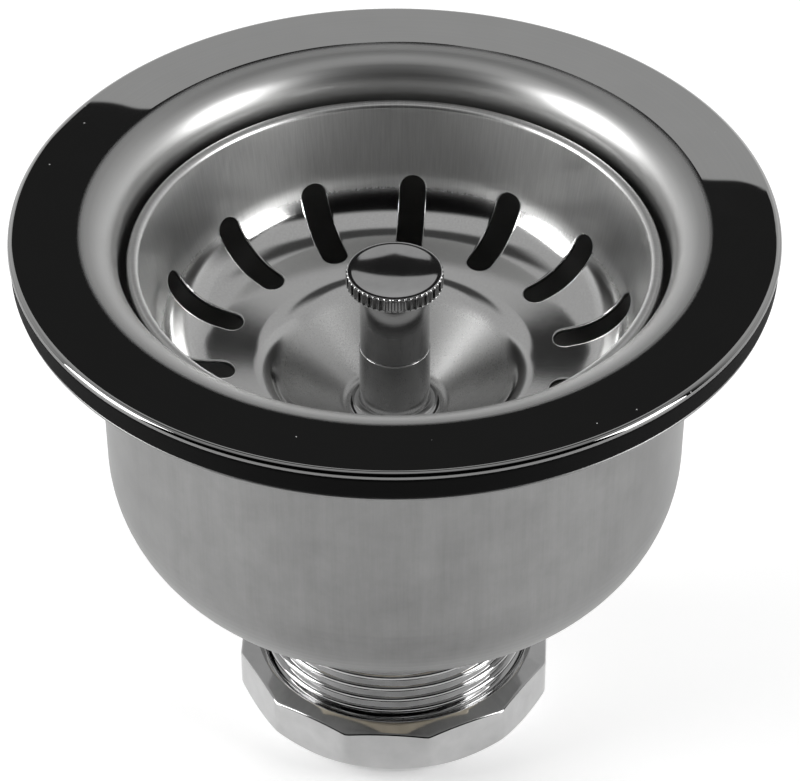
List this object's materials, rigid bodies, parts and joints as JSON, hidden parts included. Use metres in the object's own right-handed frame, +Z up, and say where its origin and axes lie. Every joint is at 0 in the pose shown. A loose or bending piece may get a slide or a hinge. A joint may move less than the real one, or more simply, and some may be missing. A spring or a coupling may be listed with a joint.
{
  "type": "basket strainer waste",
  "caption": "Stainless sink basket strainer waste: flanged bowl, rubber gasket, outer cup, threaded outlet with coupling nut, and a lift-out slotted basket with a knurled knob.",
  "frame": {"origin": "on the outlet axis at the lower edge of the flange, where it meets the top of the sink", "axes": "+Z up along the outlet axis, +Y away from the viewer of the picture, +X to the right"},
  "size_m": [0.1142, 0.1142, 0.0933],
  "materials": {
    "polished_steel": "polished drawn stainless steel",
    "satin_steel": "dull drawn stainless steel with draw lines",
    "basket_steel": "bright drawn stainless steel",
    "chrome_plate": "bright plate on turned metal",
    "plain_brass": "turned",
    "spring_steel": "plain",
    "black_rubber": "moulded"
  },
  "bodies": {
    "strainer": {"strainer_body": "polished_steel", "sink_gasket": "black_rubber", "outer_cup": "satin_steel", "outlet_spud": "chrome_plate", "cross_bar": "chrome_plate", "lock_nut": "plain_brass"},
    "tail_washer": {"tailpiece_washer": "black_rubber"},
    "nut": {"coupling_nut": "chrome_plate"},
    "basket": {"basket_shell": "basket_steel", "post_sleeve": "chrome_plate", "knob": "chrome_plate", "stem": "plain_brass", "spring_catch": "spring_steel", "stopper_seal": "black_rubber", "stopper_plate": "basket_steel", "stopper_washer": "basket_steel", "stem_nut": "plain_brass"}
  },
  "joints": [
    {"name": "basket_lift", "type": "slide", "parent": "strainer", "child": "basket", "axis": [0, 0, 1], "range_m": [0, 0.07]},
    {"name": "nut_advance", "type": "slide", "parent": "strainer", "child": "tail_washer", "axis": [0, 0, 1], "range_m": [-0.0058, 0]},
    {"name": "coupling_nut_turn", "type": "hinge", "parent": "tail_washer", "child": "nut", "pos_m": [0, 0, -0.086], "axis": [0, 0, 1], "range_deg": [-900, 0]}
  ],
  "couplings": [
    {"joint": "nut_advance", "follows": "coupling_nut_turn", "m_per_rad": 0.00036749}
  ]
}
